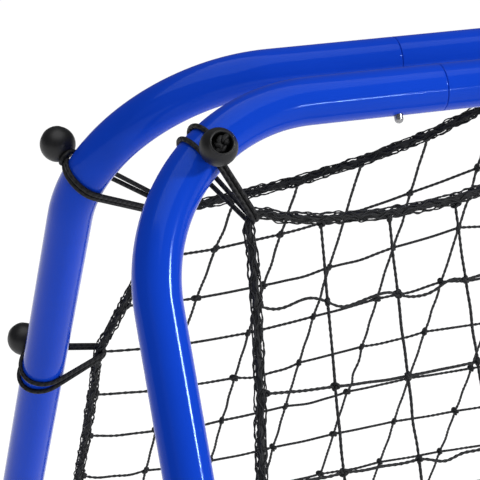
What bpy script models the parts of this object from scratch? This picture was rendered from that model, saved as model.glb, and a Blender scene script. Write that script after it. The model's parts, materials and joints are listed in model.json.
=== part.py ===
"""Double-sided pitch back rebounder: two tubular frames leaning together as an A, each holding a ball net.

Metres, +Z up, X across the frames, -Y the front. Each frame is modelled flat in its own plane: local X across,
local Y up the slope from the ridge, local Z the normal that faces out of the A. The rear frame is the front
one turned half a turn about Z, and it folds about the axis that both top hinges share. Left and right on each
frame are those of a player who faces its net.
"""

import math

import bmesh
import bpy
from mathutils import Matrix, Vector

# Driving dimensions
TUBE_RADIUS = 0.016
TUBE_WALL = 0.0012
BEND_RADIUS = 0.125
FRAME_WIDTH = 0.928  # between the side tubes' centrelines
FRAME_LENGTH = 0.976  # between the top and bottom tubes' centrelines, along the slope
RIDGE_SPACING = 0.075  # between the two top tubes' centrelines
LEAN = math.radians(30)
GAP = 0.0004  # between pieces that touch

# Tube joints
ARM_LENGTH = 0.218  # from a frame corner to the seam on the top or bottom tube
SOCKET_DEPTH = 0.050
SWAGE_RADIUS = TUBE_RADIUS - TUBE_WALL - GAP
SWAGE_TAPER = 0.0015
CLIP_FROM_SEAM = 0.0325
BUTTON_RADIUS = 0.003
BUTTON_HEIGHT = 0.0055  # above the tube
BUTTON_HOLE_RADIUS = 0.0035
BUTTON_SIDES = 10
HOLE_SIDES = 8
SPRING_WIDTH = 0.008
SPRING_THICKNESS = 0.0008
SPRING_LENGTH = 0.034
SPRING_UNDER_WALL = 0.0033  # from the tube's bore down to the leaf's top
SPRING_RAKE = 0.002  # that the upper leaf drops by its fold
SPRING_OPENING = 0.014  # between the leaf's two ends
TUBE_SIDES = 12
BEND_STEPS = 6

# Net, its edge rope and the ball bungees
ROPE_RADIUS = 0.00375
NET_THICKNESS = 0.001
NET_INSET = 0.012
BALL_RADIUS = 0.0125
ELASTIC_RADIUS = 0.0015
LOOP_AROUND_TUBE = TUBE_RADIUS + ELASTIC_RADIUS + 0.0012
LOOP_AROUND_ROPE = ROPE_RADIUS + ELASTIC_RADIUS + 0.0022
STEPS_AROUND_TUBE = 7
STEPS_AROUND_ROPE = 3
BALL_FROM_AXIS = TUBE_RADIUS + BALL_RADIUS + 0.0006
ROPE_STEPS = 2  # from one of the edge rope's points to the next
TOP_BUNGEE_X = 0.152  # from the middle of the top or bottom tube
SIDE_BUNGEE_Y = 0.295  # from the top or bottom tube, down or up the slope

# Top hinges
HINGE_X = 0.090
CLAMP_WIDTH = 0.024
CLAMP_RADIUS = 0.0195
EAR_THICKNESS = 0.005
EAR_RADIUS = 0.016
EAR_HEIGHT = 0.020
ROUND_SIDES = 20
BORE_SIDES = 12
BOLT_RADIUS = 0.004
BOLT_HEAD_RADIUS = 0.0075
BOLT_HEAD_HEIGHT = 0.005
KNOB_RADIUS = 0.0152
KNOB_LOBE = 0.0013
KNOB_LOBES = 6
KNOB_LENGTH = 0.016
KNOB_BORE_DEPTH = 0.011
KNOB_STEPS = 36  # round its outline

SMOOTH_UNDER = math.radians(40)
HALF_WIDTH = FRAME_WIDTH / 2
TUBE_INNER = TUBE_RADIUS - TUBE_WALL


def bend_point(angle):
    """Place on a bend's centreline, from its upright end (0 degrees) round to its level end (90)."""
    turn = math.radians(angle)
    return (BEND_RADIUS * (1 - math.cos(turn)), BEND_RADIUS * (1 - math.sin(turn)))


# Every bungee of a frame's left side, with the right side its mirror: place on the tube's centreline, place on
# the edge rope, and the ball's angle round the tube, from straight outwards in the frame's plane towards the
# outer face. A place is (in from the side tube, down from the top tube), or up from the bottom tube if lower.
TOP_BUNGEE_IN = HALF_WIDTH - TOP_BUNGEE_X
LOWER_BUNGEES = {
    "side_lower": ((0, SIDE_BUNGEE_Y), (0.043, SIDE_BUNGEE_Y), 80),
    "bottom_corner": (bend_point(45), (0.078, 0.078), 92),
    "bottom": ((TOP_BUNGEE_IN, 0), (TOP_BUNGEE_IN, 0.050), 88),
}
UPPER_BUNGEES = {
    "front": {
        "top": ((TOP_BUNGEE_IN, 0), (TOP_BUNGEE_IN, 0.050), 90),
        "top_corner": (bend_point(51), (0.067, 0.070), 95),
        "side_upper": ((0, SIDE_BUNGEE_Y), (0.036, 0.300), 78),
    },
    "rear": {
        "top": ((TOP_BUNGEE_IN, 0), (TOP_BUNGEE_IN, 0.048), 88),
        "top_corner": (bend_point(18), (0.078, 0.130), 56),
        "side_upper": ((0, SIDE_BUNGEE_Y), (0.043, 0.289), 75),
    },
}

# Where the edge rope bows in between its hooks, in the same terms.
UPPER_BOWS = {
    "front": {
        "top_middle": (HALF_WIDTH, 0.072),
        "top": (0.145, 0.084),
        "corner_top": (0.092, 0.077),
        "corner_side": (0.066, 0.096),
        "side": (0.055, 0.190),
    },
    "rear": {
        "top_middle": (HALF_WIDTH, 0.072),
        "top": (0.190, 0.108),
        "corner_top": (0.100, 0.119),
        "corner_side": (0.0695, 0.160),
        "side": (0.054, 0.225),
    },
}
LOWER_BOWS = {
    "side_middle": (0.062, FRAME_LENGTH / 2),
    "side": (0.060, 0.190),
    "corner_side": (0.071, 0.104),
    "corner_bottom": (0.104, 0.071),
    "bottom": (0.190, 0.066),
    "bottom_middle": (HALF_WIDTH, 0.068),
}


def clear_scene():
    for obj in list(bpy.data.objects):
        bpy.data.objects.remove(obj, do_unlink=True)


def new_collection(name):
    collection = bpy.data.collections.new(name)
    bpy.context.scene.collection.children.link(collection)
    return collection


def principled(name, colour, roughness, metallic=0.0):
    material = bpy.data.materials.new(name)
    material.use_nodes = True
    shader = material.node_tree.nodes["Principled BSDF"]
    shader.inputs["Base Color"].default_value = (*colour, 1)
    shader.inputs["Roughness"].default_value = roughness
    shader.inputs["Metallic"].default_value = metallic
    return material


def make_object(name, mesh, collection, parent=None, matrix=None, material=None):
    obj = bpy.data.objects.new(name, mesh)
    collection.objects.link(obj)
    obj.parent = parent
    if matrix is not None:
        obj.matrix_local = matrix
    if material is not None and not mesh.materials:
        mesh.materials.append(material)
        mesh.shade_smooth()
        mesh.set_sharp_from_angle(angle=SMOOTH_UNDER)
    return obj


def new_empty(name, collection, location, rotation=(0, 0, 0), parent=None):
    empty = bpy.data.objects.new(name, None)
    empty.empty_display_size = 0.1
    empty.location = location
    empty.rotation_euler = rotation
    empty.parent = parent
    collection.objects.link(empty)
    return empty


def mesh_of(obj, name):
    """A new mesh of the object as its modifiers leave it; the object itself is removed."""
    bpy.context.view_layer.update()
    graph = bpy.context.evaluated_depsgraph_get()
    mesh = bpy.data.meshes.new_from_object(obj.evaluated_get(graph))
    mesh.name = name
    data = obj.data
    bpy.data.objects.remove(obj, do_unlink=True)
    if isinstance(data, bpy.types.Curve):
        bpy.data.curves.remove(data)
    work = bmesh.new()
    work.from_mesh(mesh)
    bmesh.ops.remove_doubles(work, verts=work.verts, dist=1e-5)
    bmesh.ops.recalc_face_normals(work, faces=work.faces)
    work.to_mesh(mesh)
    work.free()
    return mesh


def poly_curve(name, points, cyclic=False, radii=None, dimensions="3D"):
    """A curve object of straight stretches, with flat facets facing the curve's own Z and Y directions."""
    curve = bpy.data.curves.new(name, "CURVE")
    curve.dimensions = dimensions
    curve.twist_mode = "Z_UP"
    spline = curve.splines.new("POLY")
    spline.points.add(len(points) - 1)
    spline.use_cyclic_u = cyclic
    for index, place in enumerate(points):
        point = spline.points[index]
        point.co = (*place, 1) if len(place) == 3 else (*place, 0, 1)
        point.radius = radii[index] if radii else 1
        point.tilt = math.pi / TUBE_SIDES
    obj = bpy.data.objects.new(name, curve)
    bpy.context.scene.collection.objects.link(obj)
    return obj


def use_boolean(obj, cutter, operation):
    modifier = obj.modifiers.new(operation.title(), "BOOLEAN")
    modifier.operation = operation
    modifier.solver = "EXACT"
    modifier.object = cutter


def scratch_object(name, mesh):
    obj = bpy.data.objects.new(name, mesh)
    bpy.context.scene.collection.objects.link(obj)
    return obj


def joined_mesh(name, first, others, operation="UNION"):
    """The first mesh joined with, or cut by, each of the others."""
    base = scratch_object(name, first)
    helpers = [scratch_object(name + "_helper", mesh) for mesh in others]
    for helper in helpers:
        use_boolean(base, helper, operation)
    result = mesh_of(base, name)
    for helper in helpers:
        bpy.data.objects.remove(helper, do_unlink=True)
    return result


def cylinder_mesh(radius, length, sides, matrix):
    """A capped cylinder whose own Z runs from 0 to its length, placed by the matrix."""
    mesh = bpy.data.meshes.new("cylinder")
    work = bmesh.new()
    bmesh.ops.create_cone(
        work, cap_ends=True, segments=sides, radius1=radius, radius2=radius, depth=length,
        matrix=matrix @ Matrix.Translation((0, 0, length / 2)),
    )
    work.to_mesh(mesh)
    work.free()
    return mesh


def box_mesh(low, high):
    mesh = bpy.data.meshes.new("box")
    low, high = Vector(low), Vector(high)
    work = bmesh.new()
    size = Matrix.Diagonal((*(high - low), 1))
    bmesh.ops.create_cube(work, size=1, matrix=Matrix.Translation((low + high) / 2) @ size)
    work.to_mesh(mesh)
    work.free()
    return mesh


def axes_matrix(origin, along, up):
    """The matrix whose X runs along the first direction and whose Z is the second."""
    x, z = Vector(along), Vector(up)
    y = z.cross(x)
    turn = Matrix((x, y, z)).transposed().to_4x4()
    return Matrix.Translation(origin) @ turn


# Tubes


def hollow_tube(name, points, radii):
    path = poly_curve(name, points, radii=radii)
    path.data.bevel_depth = TUBE_RADIUS
    path.data.bevel_resolution = TUBE_SIDES // 2 - 2
    skin = scratch_object(name, mesh_of(path, name))
    shell = skin.modifiers.new("Wall", "SOLIDIFY")
    shell.thickness = TUBE_WALL
    shell.offset = -1
    return mesh_of(skin, name)


def swage(seam, direction):
    """Points and radius factors of a reduced end, from the last full-size ring to the end of the spigot."""
    factor = SWAGE_RADIUS / TUBE_RADIUS
    steps = ((GAP + SWAGE_TAPER, 1), (GAP, factor), (-SOCKET_DEPTH, factor))
    return [seam - direction * distance for distance, _ in steps], [radius for _, radius in steps]


def corner_frame(across, top):
    """The corner's centreline crossing, with the directions along its arm and its leg. across is -1 or 1."""
    corner = Vector((across * HALF_WIDTH, 0 if top else -FRAME_LENGTH, 0))
    arm = Vector((-across, 0, 0))
    leg = Vector((0, -1 if top else 1, 0))
    return corner, arm, leg


def corner_tube(name, across, top):
    corner, arm, leg = corner_frame(across, top)
    centre = corner + BEND_RADIUS * (arm + leg)
    points = [corner + ARM_LENGTH * arm]
    for step in range(BEND_STEPS + 1):
        turn = math.pi / 2 * step / BEND_STEPS
        points.append(centre - BEND_RADIUS * (math.cos(turn) * leg + math.sin(turn) * arm))
    seam = corner + FRAME_LENGTH / 2 * leg
    if top:
        end_points, end_radii = swage(seam, leg)
    else:
        end_points, end_radii = [seam], [1]
    radii = [1] * len(points) + end_radii
    return hollow_tube(name, points + end_points, radii)


def straight_tube(name):
    """The top or bottom tube about its own middle, with a reduced end each side."""
    seam = Vector((HALF_WIDTH - ARM_LENGTH, 0, 0))
    end_points, end_radii = swage(seam, Vector((1, 0, 0)))
    points = [Vector((-point.x, 0, 0)) for point in reversed(end_points)] + end_points
    return hollow_tube(name, points, end_radii[::-1] + end_radii)


# Snap clips


def clip_mesh():
    """One spring clip about its tube's axis: the button along +Z, the folded leaf running off along +X."""
    top = TUBE_RADIUS + BUTTON_HEIGHT
    leaf_middle = TUBE_INNER - SPRING_UNDER_WALL - SPRING_THICKNESS / 2
    dome = [(BUTTON_RADIUS * math.sin(turn), top - BUTTON_RADIUS + BUTTON_RADIUS * math.cos(turn))
            for turn in (0, math.radians(35), math.radians(65), math.radians(90))]
    profile = dome + [(BUTTON_RADIUS, leaf_middle), (0, leaf_middle)]
    outline = bpy.data.meshes.new("button")
    outline.from_pydata([(x, 0, z) for x, z in profile], [(i, i + 1) for i in range(len(profile) - 1)], [])
    turned = scratch_object("button", outline)
    screw = turned.modifiers.new("Turn", "SCREW")
    screw.axis = "Z"
    screw.steps = screw.render_steps = BUTTON_SIDES
    screw.use_merge_vertices = True
    screw.merge_threshold = 1e-5
    button = mesh_of(turned, "button")

    nose, end = -2 * BUTTON_RADIUS, -SPRING_WIDTH / 2
    fold = nose + SPRING_LENGTH - SPRING_RAKE
    fold_radius = 1.5 * SPRING_RAKE
    path = [(nose, leaf_middle), (fold / 2, leaf_middle), (fold, leaf_middle - SPRING_RAKE),
            (fold + SPRING_RAKE, leaf_middle - SPRING_RAKE - fold_radius),
            (fold, leaf_middle - SPRING_RAKE - 2 * fold_radius), (end, leaf_middle - SPRING_OPENING)]
    ribbon = poly_curve("leaf", path, dimensions="2D")
    ribbon.data.extrude = SPRING_WIDTH / 2
    ribbon.data.fill_mode = "NONE"
    strip = scratch_object("leaf", mesh_of(ribbon, "leaf"))
    thick = strip.modifiers.new("Thickness", "SOLIDIFY")
    thick.thickness = SPRING_THICKNESS
    thick.offset = 0
    leaf = mesh_of(strip, "leaf")
    leaf.transform(Matrix.Rotation(math.pi / 2, 4, "X"))
    return joined_mesh("snap_clip", button, [leaf])


def clip_places():
    """Name, place, direction off along the tube and button direction of the six clips of a frame."""
    top_x = HALF_WIDTH - ARM_LENGTH + CLIP_FROM_SEAM
    side_y = -(FRAME_LENGTH / 2 + CLIP_FROM_SEAM)
    for side, across in (("left", -1), ("right", 1)):
        inward = (-across, 0, 0)
        yield f"top_{side}", (across * top_x, 0, 0), inward, (0, -1, 0)
        yield f"{side}_side", (across * HALF_WIDTH, side_y, 0), (0, 1, 0), inward
        yield f"bottom_{side}", (across * top_x, -FRAME_LENGTH, 0), inward, (0, 1, 0)


def button_cutter(place, along, up):
    """A cylinder through the outer wall and the spigot's, but not through the tube's far side."""
    matrix = axes_matrix(place, along, up) @ Matrix.Translation((0, 0, TUBE_RADIUS / 2))
    return cylinder_mesh(BUTTON_HOLE_RADIUS, TUBE_RADIUS, HOLE_SIDES, matrix)


# Bungees, edge rope and net


def in_frame(place, across, top):
    """Local coordinates of a place given as distances in from the side and from the top or bottom tube."""
    inwards, along = place
    return Vector((across * (HALF_WIDTH - inwards), -along if top else along - FRAME_LENGTH, 0))


def loop_path(reach):
    """The elastic loop round tube and rope as (towards the rope, out of the frame's plane) points."""
    tangent = math.acos((LOOP_AROUND_TUBE - LOOP_AROUND_ROPE) / reach)
    points = []
    for centre, radius, first, last, steps in (
        (0, LOOP_AROUND_TUBE, tangent, 2 * math.pi - tangent, STEPS_AROUND_TUBE),
        (reach, LOOP_AROUND_ROPE, -tangent, tangent, STEPS_AROUND_ROPE),
    ):
        step = (last - first) / steps
        corner = radius / math.cos(step / 2)
        for index in range(steps):
            turn = first + step * (index + 0.5)
            points.append((centre + corner * math.cos(turn), corner * math.sin(turn)))
    return points


def bungee_mesh(name, tube_place, hook, ball_angle):
    """A ball and its elastic loop, about the tube's axis: X towards the rope, Z out of the frame's plane."""
    reach = (hook - tube_place).length
    path = poly_curve(name, [(x, 0, z) for x, z in loop_path(reach)], cyclic=True)
    path.data.bevel_depth = ELASTIC_RADIUS
    path.data.bevel_resolution = 0
    elastic = mesh_of(path, name)
    angle = math.radians(ball_angle)
    centre = (-BALL_FROM_AXIS * math.cos(angle), 0, BALL_FROM_AXIS * math.sin(angle))
    ball = bpy.data.meshes.new("ball")
    work = bmesh.new()
    bmesh.ops.create_icosphere(work, subdivisions=2, radius=BALL_RADIUS, matrix=Matrix.Translation(centre))
    work.to_mesh(ball)
    work.free()
    return joined_mesh(name, ball, [elastic])


def rope_points(frame_name):
    """The edge rope's points down the left side, from the top middle to the bottom middle."""
    hooks = {name: hook for name, (_, hook, _) in UPPER_BUNGEES[frame_name].items()}
    bows = UPPER_BOWS[frame_name]
    upper = [bows["top_middle"], hooks["top"], bows["top"], bows["corner_top"], hooks["top_corner"],
             bows["corner_side"], bows["side"], hooks["side_upper"]]
    low_hooks = {name: hook for name, (_, hook, _) in LOWER_BUNGEES.items()}
    lower = [LOWER_BOWS["side_middle"], low_hooks["side_lower"], LOWER_BOWS["side"], LOWER_BOWS["corner_side"],
             low_hooks["bottom_corner"], LOWER_BOWS["corner_bottom"], LOWER_BOWS["bottom"],
             low_hooks["bottom"], LOWER_BOWS["bottom_middle"]]
    left = [in_frame(place, -1, True) for place in upper] + [in_frame(place, -1, False) for place in lower]
    right = [Vector((-point.x, point.y, 0)) for point in reversed(left[1:-1])]
    return left + right


def smooth_ring(points, steps):
    """A closed Catmull-Rom curve through the points."""
    ring = []
    count = len(points)
    for index in range(count):
        before, start, end, after = (points[(index + shift) % count] for shift in (-1, 0, 1, 2))
        for step in range(steps):
            t = step / steps
            ring.append(0.5 * (2 * start + t * (end - before)
                               + t * t * (2 * before - 5 * start + 4 * end - after)
                               + t * t * t * (3 * (start - end) + after - before)))
    return ring


def rope_mesh(name, ring):
    path = poly_curve(name, ring, cyclic=True)
    path.data.bevel_depth = ROPE_RADIUS
    path.data.bevel_resolution = 0
    return mesh_of(path, name)


def net_mesh(name, ring):
    """A thin sheet that fills the edge rope's ring, a little inside it."""
    count = len(ring)
    outline = []
    for index, point in enumerate(ring):
        run = (ring[(index + 1) % count] - ring[index - 1]).normalized()
        outline.append(point + NET_INSET * Vector((-run.y, run.x, 0)))
    sheet = poly_curve(name, [(point.x, point.y) for point in outline[::2]], cyclic=True, dimensions="2D")
    sheet.data.fill_mode = "BOTH"
    sheet.data.extrude = NET_THICKNESS / 2
    return mesh_of(sheet, name)


# Hinges, about the fold axis: X along it, the front top tube at -Y


def bracket_mesh():
    """A clamp round the top tube with an ear that reaches the fold axis, on the -X side of the middle."""
    sideways = Matrix.Rotation(math.pi / 2, 4, "Y")
    tube_y = -RIDGE_SPACING / 2
    clamp_start = Matrix.Translation((-CLAMP_WIDTH / 2, tube_y, 0)) @ sideways
    clamp = cylinder_mesh(CLAMP_RADIUS, CLAMP_WIDTH, ROUND_SIDES, clamp_start)
    ear_left, ear_right = -GAP / 2 - EAR_THICKNESS, -GAP / 2
    arm = box_mesh((ear_left, tube_y, -EAR_HEIGHT / 2), (ear_right, 0, EAR_HEIGHT / 2))
    disc_start = Matrix.Translation((ear_left, 0, 0)) @ sideways
    disc = cylinder_mesh(EAR_RADIUS, EAR_THICKNESS, ROUND_SIDES, disc_start)
    solid = joined_mesh("bracket", clamp, [arm, disc])
    bore_start = Matrix.Translation((-CLAMP_WIDTH, tube_y, 0)) @ sideways
    tube_bore = cylinder_mesh(TUBE_RADIUS + GAP, 2 * CLAMP_WIDTH, ROUND_SIDES, bore_start)
    bolt_bore = cylinder_mesh(BOLT_RADIUS + GAP, 2 * CLAMP_WIDTH, BORE_SIDES,
                              Matrix.Translation((-CLAMP_WIDTH, 0, 0)) @ sideways)
    return joined_mesh("hinge_bracket", solid, [tube_bore, bolt_bore], "DIFFERENCE")


def bolt_mesh():
    """A hexagon bolt from beyond the front ear to inside the knob."""
    sideways = Matrix.Rotation(math.pi / 2, 4, "Y")
    seat = -GAP / 2 - EAR_THICKNESS - GAP
    head = cylinder_mesh(BOLT_HEAD_RADIUS, BOLT_HEAD_HEIGHT, 6,
                         Matrix.Translation((seat - BOLT_HEAD_HEIGHT, 0, 0)) @ sideways)
    tip = EAR_THICKNESS + 2 * GAP + KNOB_BORE_DEPTH - BOLT_RADIUS / 4
    shank_start = seat - BOLT_HEAD_HEIGHT / 2
    shank = cylinder_mesh(BOLT_RADIUS, tip - shank_start, BORE_SIDES,
                          Matrix.Translation((shank_start, 0, 0)) @ sideways)
    return joined_mesh("hinge_bolt", head, [shank])


def knob_mesh():
    """A lobed knob beyond the rear ear, with a blind bore for the bolt. Its axis is local X."""
    outline = []
    for index in range(KNOB_STEPS):
        turn = 2 * math.pi * index / KNOB_STEPS
        radius = KNOB_RADIUS + KNOB_LOBE * math.cos(KNOB_LOBES * turn)
        outline.append((radius * math.cos(turn), radius * math.sin(turn)))
    body = poly_curve("knob", outline, cyclic=True, dimensions="2D")
    body.data.fill_mode = "BOTH"
    body.data.extrude = KNOB_LENGTH / 2
    solid = mesh_of(body, "knob")
    seat = GAP / 2 + EAR_THICKNESS + GAP
    sideways = Matrix.Rotation(math.pi / 2, 4, "Y")
    solid.transform(Matrix.Translation((seat + KNOB_LENGTH / 2, 0, 0)) @ sideways)
    bore = cylinder_mesh(BOLT_RADIUS + GAP, 2 * KNOB_BORE_DEPTH, BORE_SIDES,
                         Matrix.Translation((seat - KNOB_BORE_DEPTH, 0, 0)) @ sideways)
    return joined_mesh("hinge_knob", solid, [bore], "DIFFERENCE")


# Assembly


def frame_meshes():
    """The six tube meshes that both frames share, with their button holes cut."""
    tubes = {}
    for side, across in (("left", -1), ("right", 1)):
        tubes[f"upper_{side}_corner_tube"] = corner_tube("upper_corner", across, True)
        tubes[f"lower_{side}_corner_tube"] = corner_tube("lower_corner", across, False)
    for name, y in (("top_tube", 0), ("bottom_tube", -FRAME_LENGTH)):
        tubes[name] = straight_tube(name)
        tubes[name].transform(Matrix.Translation((0, y, 0)))
    holes = {name: button_cutter(*place) for name, *place in clip_places()}
    cut = {
        "top_tube": ["top_left", "top_right"],
        "bottom_tube": ["bottom_left", "bottom_right"],
        "upper_left_corner_tube": ["top_left", "left_side"],
        "upper_right_corner_tube": ["top_right", "right_side"],
        "lower_left_corner_tube": ["bottom_left", "left_side"],
        "lower_right_corner_tube": ["bottom_right", "right_side"],
    }
    return {name: joined_mesh(name, mesh, [holes[hole] for hole in cut[name]], "DIFFERENCE")
            for name, mesh in tubes.items()}


def add_bungees(frame_name, parent, collection, material):
    places = [(name, place, True) for name, place in UPPER_BUNGEES[frame_name].items()]
    places += [(name, place, False) for name, place in LOWER_BUNGEES.items()]
    for side, across in (("left", -1), ("right", 1)):
        for name, (tube_place, hook_place, ball_angle), top in places:
            tube_point = in_frame(tube_place, across, top)
            hook = in_frame(hook_place, across, top)
            mesh = bungee_mesh("bungee", tube_point, hook, ball_angle)
            matrix = axes_matrix(tube_point, (hook - tube_point).normalized(), (0, 0, 1))
            make_object(f"{frame_name}_bungee_{name}_{side}", mesh, collection, parent, matrix, material)


def add_frame(frame_name, parent, tubes, clip, collection, materials):
    for name, mesh in tubes.items():
        make_object(f"{frame_name}_{name}", mesh, collection, parent, material=materials["tube"])
    for name, *place in clip_places():
        make_object(f"{frame_name}_{name}_snap_clip", clip, collection, parent, axes_matrix(*place),
                    materials["steel"])
    ring = smooth_ring(rope_points(frame_name), ROPE_STEPS)
    rope = rope_mesh("rope", ring)
    net = net_mesh("net", ring)
    make_object(f"{frame_name}_net_rope", rope, collection, parent, material=materials["rope"])
    make_object(f"{frame_name}_net", net, collection, parent, material=materials["net"])
    add_bungees(frame_name, parent, collection, materials["bungee"])


def add_hinges(fold_axis, collection, materials):
    bracket, bolt, knob = bracket_mesh(), bolt_mesh(), knob_mesh()
    for side, across in (("left", -1), ("right", 1)):
        place = Matrix.Translation((across * HINGE_X, 0, 0))
        turned = place @ Matrix.Rotation(math.pi, 4, "Z")
        make_object(f"{side}_hinge_front_bracket", bracket, collection, fold_axis, place, materials["tube"])
        make_object(f"{side}_hinge_rear_bracket", bracket, collection, fold_axis, turned, materials["tube"])
        make_object(f"{side}_hinge_bolt", bolt, collection, fold_axis, place, materials["steel"])
        make_object(f"{side}_hinge_knob", knob, collection, fold_axis, place, materials["knob"])


def stand_on_floor(collection, root):
    """Raises the whole assembly until its lowest point, a bungee under a bottom tube, is at z = 0."""
    bpy.context.view_layer.update()
    lowest = min((obj.matrix_world @ vertex.co).z for obj in collection.objects if obj.type == "MESH"
                 for vertex in obj.data.vertices)
    root.location.z -= lowest
    bpy.context.view_layer.update()


def main():
    clear_scene()
    parts = new_collection("pitch_back_rebounder")
    materials = {
        "tube": principled("blue_powder_coat", (0.010, 0.075, 0.72), 0.28),
        "steel": principled("zinc_steel", (0.62, 0.63, 0.65), 0.30, 1.0),
        "knob": principled("knob_plastic", (0.02, 0.02, 0.02), 0.45),
        "bungee": principled("bungee_black", (0.012, 0.012, 0.013), 0.42),
        "rope": principled("edge_rope_black", (0.015, 0.015, 0.016), 0.80),
        "net": principled("net_twine_black", (0.02, 0.02, 0.022), 0.75),
    }
    ridge_height = FRAME_LENGTH * math.cos(LEAN)
    fold_axis = new_empty("fold_axis", parts, (0, 0, ridge_height))
    tubes = frame_meshes()
    clip = clip_mesh()
    for frame_name, y, turn in (("front", -RIDGE_SPACING / 2, 0), ("rear", RIDGE_SPACING / 2, math.pi)):
        tilt = (math.pi / 2 - LEAN, 0, turn)
        plane = new_empty(f"{frame_name}_frame_plane", parts, (0, y, 0), tilt, fold_axis)
        add_frame(frame_name, plane, tubes, clip, parts, materials)
    add_hinges(fold_axis, parts, materials)
    stand_on_floor(parts, fold_axis)


main()
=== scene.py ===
"""Looks of the pitch back rebounder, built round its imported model.

Painted tubes, steel clips and hinges, elastic ball bungees, lashed edge ropes and knotted nets. Metres. Most
pieces are made flat in their frame's plane, as the model is: local X across, local Y up the slope from the
ridge, local Z the normal that faces out of the A.
"""

import json
import math

import bmesh
import bpy
import numpy as np
from mathutils import Matrix, Vector


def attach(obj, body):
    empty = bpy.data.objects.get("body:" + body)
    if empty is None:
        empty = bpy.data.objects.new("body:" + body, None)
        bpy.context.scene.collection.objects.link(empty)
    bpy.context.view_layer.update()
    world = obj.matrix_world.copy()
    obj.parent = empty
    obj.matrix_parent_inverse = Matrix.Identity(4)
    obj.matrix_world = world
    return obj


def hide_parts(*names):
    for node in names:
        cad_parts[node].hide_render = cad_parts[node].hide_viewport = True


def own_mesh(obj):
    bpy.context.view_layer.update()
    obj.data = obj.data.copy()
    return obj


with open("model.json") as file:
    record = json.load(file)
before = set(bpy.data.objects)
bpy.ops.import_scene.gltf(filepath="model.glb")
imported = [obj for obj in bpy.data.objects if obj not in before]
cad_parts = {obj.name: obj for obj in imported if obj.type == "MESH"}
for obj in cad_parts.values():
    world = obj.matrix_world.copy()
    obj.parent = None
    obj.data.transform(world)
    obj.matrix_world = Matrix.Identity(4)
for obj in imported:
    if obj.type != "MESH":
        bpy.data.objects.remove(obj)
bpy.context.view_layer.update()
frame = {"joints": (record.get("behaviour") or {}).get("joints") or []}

# The model's driving dimensions
TUBE_RADIUS = 0.016
TUBE_WALL = 0.0012
BEND_RADIUS = 0.125
FRAME_WIDTH = 0.928  # between the side tubes' centrelines
FRAME_LENGTH = 0.976  # between the top and bottom tubes' centrelines, along the slope
RIDGE_SPACING = 0.075  # between the two top tubes' centrelines
LEAN = math.radians(30)
GAP = 0.0004
ARM_LENGTH = 0.218  # from a frame corner to the seam on the top or bottom tube
SOCKET_DEPTH = 0.050
SWAGE_RADIUS = TUBE_RADIUS - TUBE_WALL - GAP
CLIP_FROM_SEAM = 0.0325
BUTTON_RADIUS = 0.003
BUTTON_HEIGHT = 0.0055
BUTTON_HOLE_RADIUS = 0.0035
BALL_RADIUS = 0.0125
TOP_BUNGEE_IN = FRAME_WIDTH / 2 - 0.152
SIDE_BUNGEE_Y = 0.295
HINGE_X = 0.090
CLAMP_WIDTH = 0.024
CLAMP_RADIUS = 0.0195
EAR_THICKNESS = 0.005
EAR_RADIUS = 0.016
EAR_HEIGHT = 0.020
BOLT_RADIUS = 0.004
BOLT_HEAD_RADIUS = 0.0075
BOLT_HEAD_HEIGHT = 0.005
KNOB_RADIUS = 0.0152
KNOB_LOBE = 0.0013
KNOB_LOBES = 6
KNOB_LENGTH = 0.016
HALF_WIDTH = FRAME_WIDTH / 2
TUBE_INNER = TUBE_RADIUS - TUBE_WALL
RIDGE_HEIGHT = next(joint["pos_m"][2] for joint in frame["joints"] if joint["name"] == "fold")

# Sizes that differ from the model's, or that it doesn't have
SWAGE_TAPER = 0.0007
ROPE_RADIUS = 0.0023  # of the rope's core, inside its lashings
ELASTIC_RADIUS = 0.0017
BALL_FROM_AXIS = 0.0303
MOUTH_DEPTH = 0.0100
END_KNOT_RADIUS = 0.0042  # of an elastic's end knots, in the ball
END_KNOTS_FROM_CENTRE = 0.0054  # towards the ball's mouth

# Fineness of the made surfaces
TUBE_SIDES = 72
BEND_RINGS = 40
CORD_STEP = 0.0013
SMOOTH_UNDER = math.radians(38)
SIDEWAYS = Matrix.Rotation(math.pi / 2, 4, "Y")  # turns a cylinder's own Z along X

# Camera: over the near corner of the front frame, looking down and along the ridge
VIEW_AZIMUTH = math.radians(20.03)
VIEW_DROP = math.radians(19.48)
VIEW_ROLL = math.radians(-0.16)
VIEW_DISTANCE = 1.5442  # from the lens to the near corner, along the view
CORNER_LEFT_OF_AXIS = 0.0724
CORNER_ABOVE_AXIS = 0.0763
LENS = 181.7
SENSOR = 36.0

# Nets: cells each way, the half cells from a corner to its level hooks and down the side to the two side
# hooks, then the pull of each kind of stretch against a middle column's, and the knots' own sag
CELLS = 15
LEVEL_HOOK = 10
NETS = {
    "front": {"side_hooks": (8, 22), "level": 0.255, "outer_columns": 1.0, "rope": 18.6, "sag": (0, -0.0013)},
    "rear": {"side_hooks": (6, 21), "level": 0.10, "outer_columns": 0.5, "rope": 18.0, "sag": (-0.0010, 0)},
}
LASHINGS = 10  # thin twines that bind the edge rope
STITCH = 0.0064  # the usual length of one of their stitches
STITCH_LIFT = 0.0022  # how far the loosest one stands off
SLACK_CELLS = {"front": 3, "rear": 0}  # cells from the left whose first level twine hangs in a wave


def bend_point(angle):
    """Place on a bend's centreline, from its upright end (0 degrees) round to its level end (90)."""
    turn = math.radians(angle)
    return (BEND_RADIUS * (1 - math.cos(turn)), BEND_RADIUS * (1 - math.sin(turn)))


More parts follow.
